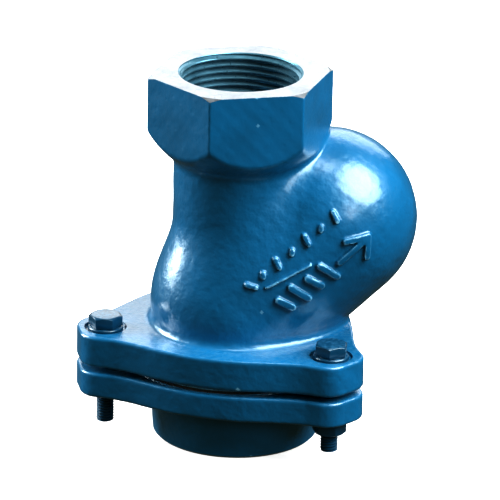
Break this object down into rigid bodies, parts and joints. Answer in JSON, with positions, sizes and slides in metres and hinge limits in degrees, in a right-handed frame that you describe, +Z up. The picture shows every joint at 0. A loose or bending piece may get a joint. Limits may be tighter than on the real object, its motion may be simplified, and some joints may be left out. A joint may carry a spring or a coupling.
{
  "type": "ball check valve",
  "caption": "Threaded ball check valve: hexagon outlet above a bulging body with a slanted ball pocket, bolted at a lugged flange to a round inlet casting.",
  "frame": {"origin": "centre of the inlet's end face, on the pipe axis", "axes": "+Z up the pipe axis from inlet to outlet, +X towards the ball pocket, symmetric about the XZ plane"},
  "size_m": [0.1157, 0.0972, 0.128],
  "materials": {
    "blue_paint": "gloss enamel over cast iron",
    "machined_iron": "bare turned faces and threads",
    "gasket_sheet": "pressed fibre sheet, matte",
    "ball_metal": "plain",
    "ball_rubber": "moulded nitrile, satin",
    "fastener_steel": "plated steel with a thin coat of the body's paint"
  },
  "bodies": {
    "housing": {"valve_body": "blue_paint", "inlet_flange": "blue_paint", "flange_gasket": "gasket_sheet", "flange_bolt_1": "fastener_steel", "flange_bolt_2": "fastener_steel", "flange_bolt_3": "fastener_steel", "flange_nut_2": "fastener_steel", "flange_nut_3": "fastener_steel", "head_washer_1": "fastener_steel", "head_washer_2": "fastener_steel", "head_washer_3": "fastener_steel", "nut_washer_2": "fastener_steel", "nut_washer_3": "fastener_steel"},
    "ball": {"ball_core": "ball_metal", "ball_cover": "ball_rubber"}
  },
  "joints": [
    {"name": "ball_lift", "type": "slide", "parent": "housing", "child": "ball", "axis": [0.6809, 0, 0.7323], "range_m": [0, 0.049]}
  ]
}
